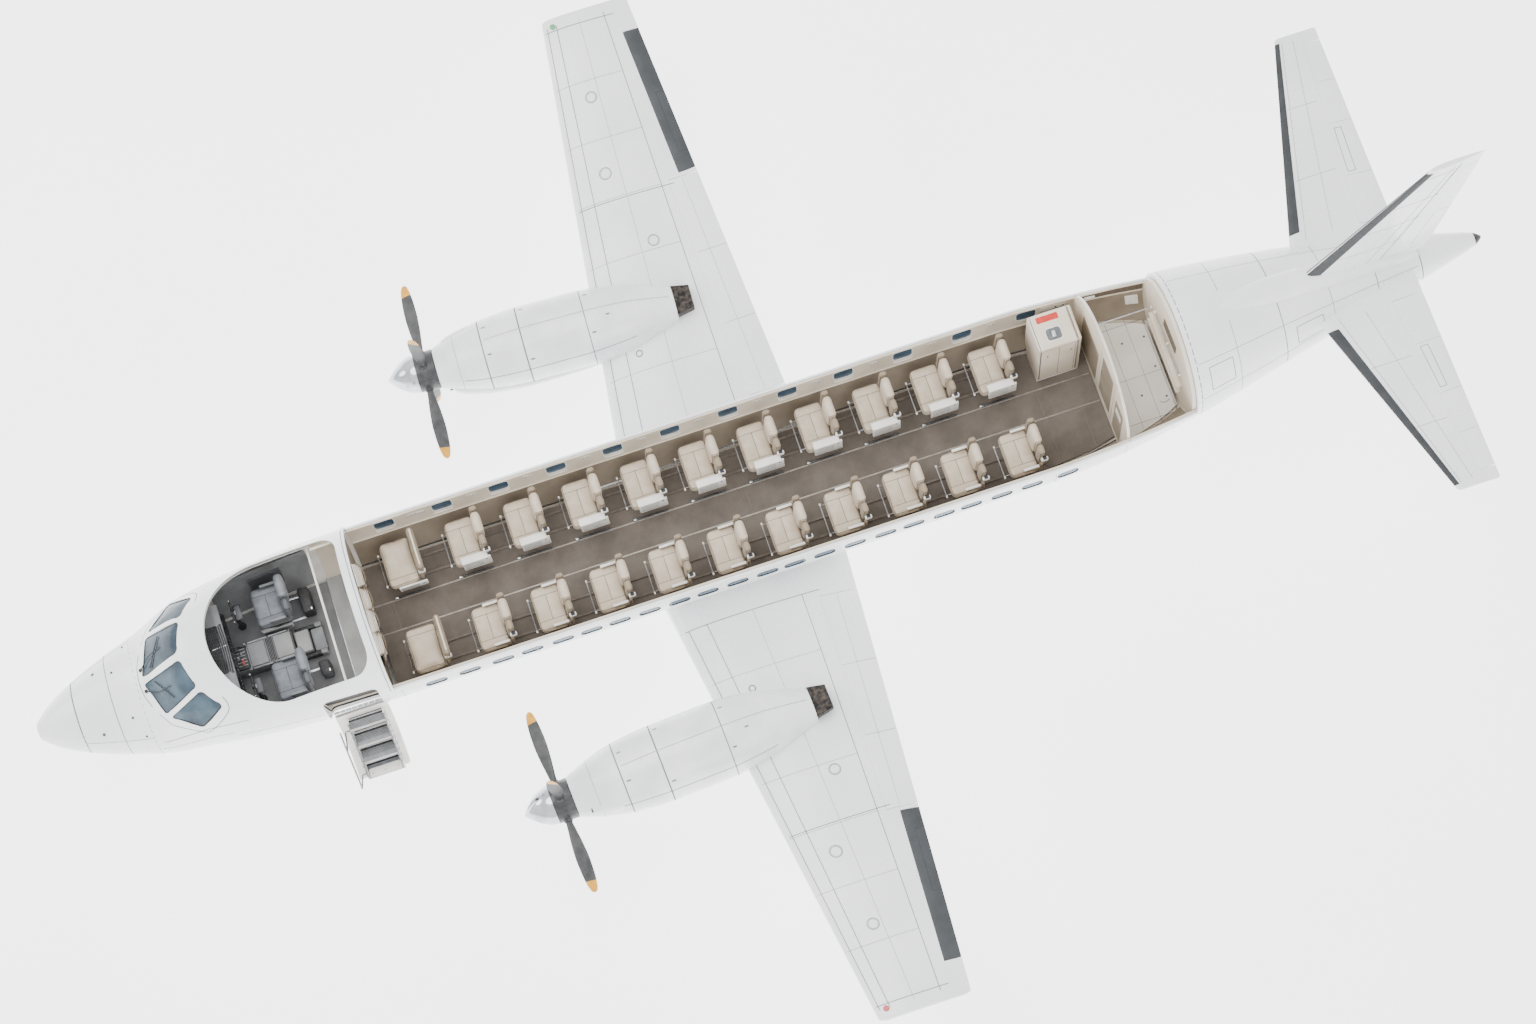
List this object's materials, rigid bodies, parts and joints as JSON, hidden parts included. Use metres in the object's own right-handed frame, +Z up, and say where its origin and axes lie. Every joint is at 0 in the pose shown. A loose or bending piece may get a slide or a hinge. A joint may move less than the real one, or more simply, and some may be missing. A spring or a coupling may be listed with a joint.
{
  "type": "turboprop airliner",
  "caption": "Low-wing twin-turboprop commuter airliner parked on its gear, roof cut away over cockpit, cabin and baggage bay, single seats beside the aisle, fold-down airstair.",
  "frame": {"origin": "on the ground under the middle of the overall length, on the fuselage centreline", "axes": "+Z up, +Y aft from nose to tail, +X to port, the side of the airstair door"},
  "size_m": [13.0374, 18.1, 5.45],
  "materials": {
    "white_paint": "gloss",
    "grey_paint": "satin",
    "trim_panel": "satin",
    "cockpit_mat": "matte",
    "carpet": "matte",
    "dark_plastic": "matte",
    "exhaust_steel": "matte",
    "blade_composite": "satin",
    "polished_metal": "polished",
    "gear_steel": "satin",
    "wheel_metal": "satin",
    "engine_iron": "satin",
    "tyre": "matte",
    "leather_cream": "satin",
    "leather_grey": "satin",
    "glass": "gloss"
  },
  "bodies": {
    "airframe": {"aft_bulkhead": "trim_panel", "aft_fuselage": "white_paint", "aft_partition": "trim_panel", "cabin_floor": "carpet", "cabin_shell": "white_paint", "cockpit_floor": "cockpit_mat", "compartment_floor": "trim_panel", "control_yoke_left": "dark_plastic", "control_yoke_right": "dark_plastic", "curtain_rail": "wheel_metal", "engine_left": "engine_iron", "engine_right": "engine_iron", "exhaust_left": "exhaust_steel", "exhaust_right": "exhaust_steel", "exit_cabinet": "trim_panel", "fin": "white_paint", "forward_bulkhead": "trim_panel", "forward_fuselage": "white_paint", "instrument_panel": "dark_plastic", "main_gear_leg_left": "gear_steel", "main_gear_leg_right": "gear_steel", "nacelle_left": "white_paint", "nacelle_right": "white_paint", "nose_cone": "white_paint", "nose_gear_leg": "gear_steel", "pilot_seat_left": "leather_grey", "pilot_seat_right": "leather_grey", "seat_row_left": "leather_cream", "seat_row_right": "leather_cream", "tail_cone": "white_paint", "tailplane_left": "white_paint", "tailplane_right": "white_paint", "windshield_glass": "glass", "wing_centre": "white_paint", "wing_left": "white_paint", "wing_right": "white_paint"},
    "flap_left": {"flap_left": "white_paint"},
    "aileron_left": {"aileron_left": "grey_paint"},
    "elevator_left": {"elevator_left": "white_paint"},
    "propeller_left": {"propeller_left": "blade_composite", "spinner_left": "polished_metal"},
    "main_wheel_left": {"main_wheel_left": "wheel_metal", "main_wheel_left_tyre": "tyre"},
    "flap_right": {"flap_right": "white_paint"},
    "aileron_right": {"aileron_right": "grey_paint"},
    "elevator_right": {"elevator_right": "white_paint"},
    "propeller_right": {"propeller_right": "blade_composite", "spinner_right": "polished_metal"},
    "main_wheel_right": {"main_wheel_right": "wheel_metal", "main_wheel_right_tyre": "tyre"},
    "rudder": {"rudder": "white_paint"},
    "nose_steering": {"nose_steering": "gear_steel"},
    "nose_wheels": {"nose_wheels": "wheel_metal", "nose_wheels_tyre_0": "tyre", "nose_wheels_tyre_1": "tyre"},
    "airstair_door": {"airstair_door": "white_paint", "airstair_handrail": "wheel_metal"},
    "partition_door": {"partition_door": "trim_panel"}
  },
  "joints": [
    {"name": "flap_left_hinge", "type": "hinge", "parent": "airframe", "child": "flap_left", "pos_m": [1.36, 0.29579, 1.18829], "axis": [-0.9831, 0.0384, -0.1792], "range_deg": [0, 35]},
    {"name": "aileron_left_hinge", "type": "hinge", "parent": "airframe", "child": "aileron_left", "pos_m": [4.22, 0.33226, 1.70976], "axis": [-0.9822, 0.0559, -0.1791], "range_deg": [-20, 20]},
    {"name": "elevator_left_hinge", "type": "hinge", "parent": "airframe", "child": "elevator_left", "pos_m": [0.5275, 7.691, 2.7035], "axis": [-0.993, -0.0613, -0.101], "range_deg": [-25, 20]},
    {"name": "propeller_left_spin", "type": "hinge", "parent": "airframe", "child": "propeller_left", "pos_m": [2.81, -3.39, 1.6], "axis": [-0.0506, 0.9987, 0], "continuous": true},
    {"name": "main_wheel_left_spin", "type": "hinge", "parent": "airframe", "child": "main_wheel_left", "pos_m": [2.66, -0.03, 0.36], "axis": [1, 0, 0], "continuous": true},
    {"name": "flap_right_hinge", "type": "hinge", "parent": "airframe", "child": "flap_right", "pos_m": [-1.36, 0.29579, 1.18829], "axis": [-0.9831, -0.0384, 0.1792], "range_deg": [0, 35]},
    {"name": "aileron_right_hinge", "type": "hinge", "parent": "airframe", "child": "aileron_right", "pos_m": [-4.22, 0.33226, 1.70976], "axis": [-0.9822, -0.0559, 0.1791], "range_deg": [-20, 20]},
    {"name": "elevator_right_hinge", "type": "hinge", "parent": "airframe", "child": "elevator_right", "pos_m": [-0.5275, 7.691, 2.7035], "axis": [-0.993, 0.0613, 0.101], "range_deg": [-25, 20]},
    {"name": "propeller_right_spin", "type": "hinge", "parent": "airframe", "child": "propeller_right", "pos_m": [-2.81, -3.39, 1.6], "axis": [0.0506, 0.9987, 0], "continuous": true},
    {"name": "main_wheel_right_spin", "type": "hinge", "parent": "airframe", "child": "main_wheel_right", "pos_m": [-2.66, -0.03, 0.36], "axis": [1, 0, 0], "continuous": true},
    {"name": "rudder_hinge", "type": "hinge", "parent": "airframe", "child": "rudder", "pos_m": [0, 7.72671, 2.9266], "axis": [0, 0.2462, 0.9692], "range_deg": [-25, 25]},
    {"name": "nose_steering_pivot", "type": "hinge", "parent": "airframe", "child": "nose_steering", "pos_m": [0, -6.6, 0.5297], "axis": [0, 0, 1], "range_deg": [-45, 45]},
    {"name": "nose_wheels_spin", "type": "hinge", "parent": "nose_steering", "child": "nose_wheels", "pos_m": [0, -6.6, 0.22], "axis": [1, 0, 0], "continuous": true},
    {"name": "airstair_door_hinge", "type": "hinge", "parent": "airframe", "child": "airstair_door", "pos_m": [0.84756, -5.34, 1.295], "axis": [0, -1, 0], "range_deg": [0, 134]},
    {"name": "partition_door_hinge", "type": "hinge", "parent": "airframe", "child": "partition_door", "pos_m": [0.42, 4.292, 1.37], "axis": [0, 0, 1], "range_deg": [0, 95]}
  ],
  "couplings": [
    {"joint": "flap_right_hinge", "follows": "flap_left_hinge", "ratio": 1},
    {"joint": "aileron_right_hinge", "follows": "aileron_left_hinge", "ratio": -1},
    {"joint": "elevator_right_hinge", "follows": "elevator_left_hinge", "ratio": 1}
  ]
}
